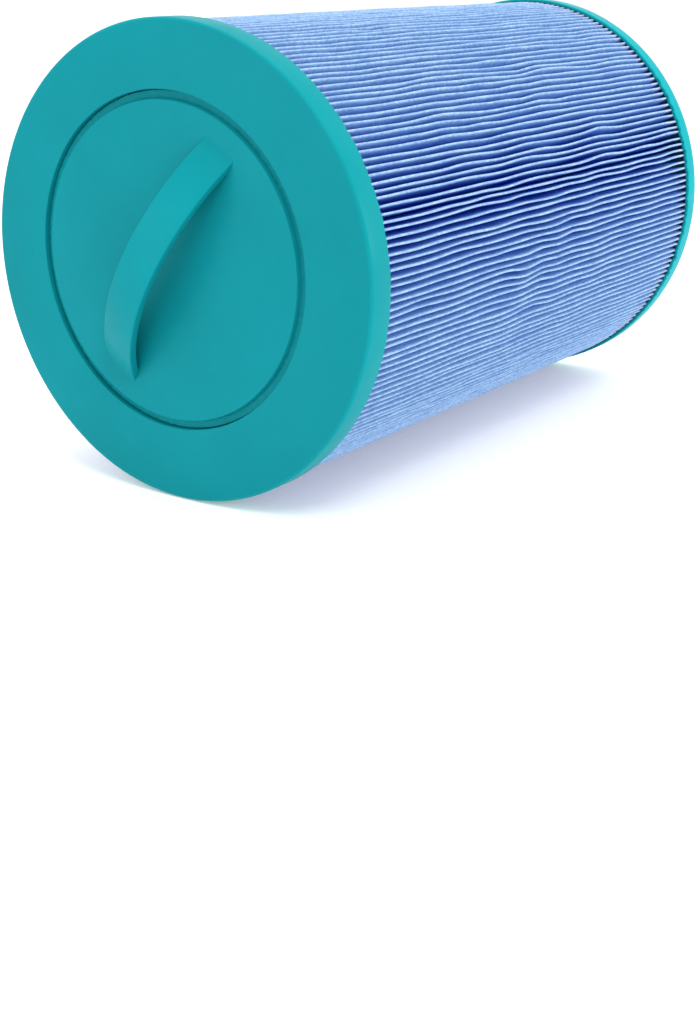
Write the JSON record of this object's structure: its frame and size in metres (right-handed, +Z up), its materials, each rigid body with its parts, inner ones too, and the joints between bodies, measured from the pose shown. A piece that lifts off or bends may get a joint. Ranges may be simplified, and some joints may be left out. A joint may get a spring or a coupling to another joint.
{
  "type": "pleated filter cartridge",
  "caption": "Round pleated water filter cartridge lying on its side, with a moulded grip on one cast end cap and a short hollow threaded outlet on the other.",
  "frame": {"origin": "on the ground under the middle of the whole length, below the cartridge's axis, which lies level", "axes": "+X along the axis from the grip end to the threaded outlet; +Z up; the cartridge lies on its side on a flat of both end caps"},
  "size_m": [0.2992, 0.1712, 0.1713],
  "materials": {
    "cap_urethane": "satin cast polyurethane, teal",
    "handle_urethane": "satin moulded polyurethane, teal",
    "end_urethane": "satin cast polyurethane, teal, a little darker",
    "outlet_plastic": "satin moulded plastic, teal",
    "pleated_media": "calendered spunbonded polyester, light blue",
    "core_plastic": "moulded plastic, off-white"
  },
  "bodies": {
    "root": {"handle_end_cap": "cap_urethane", "handle_plate": "handle_urethane", "threaded_end_cap": "end_urethane", "threaded_outlet": "outlet_plastic", "pleat_pack": "pleated_media", "core_section_1": "core_plastic", "core_section_2": "core_plastic", "core_section_3": "core_plastic", "core_section_4": "core_plastic", "core_end_plug": "core_plastic"}
  },
  "joints": []
}
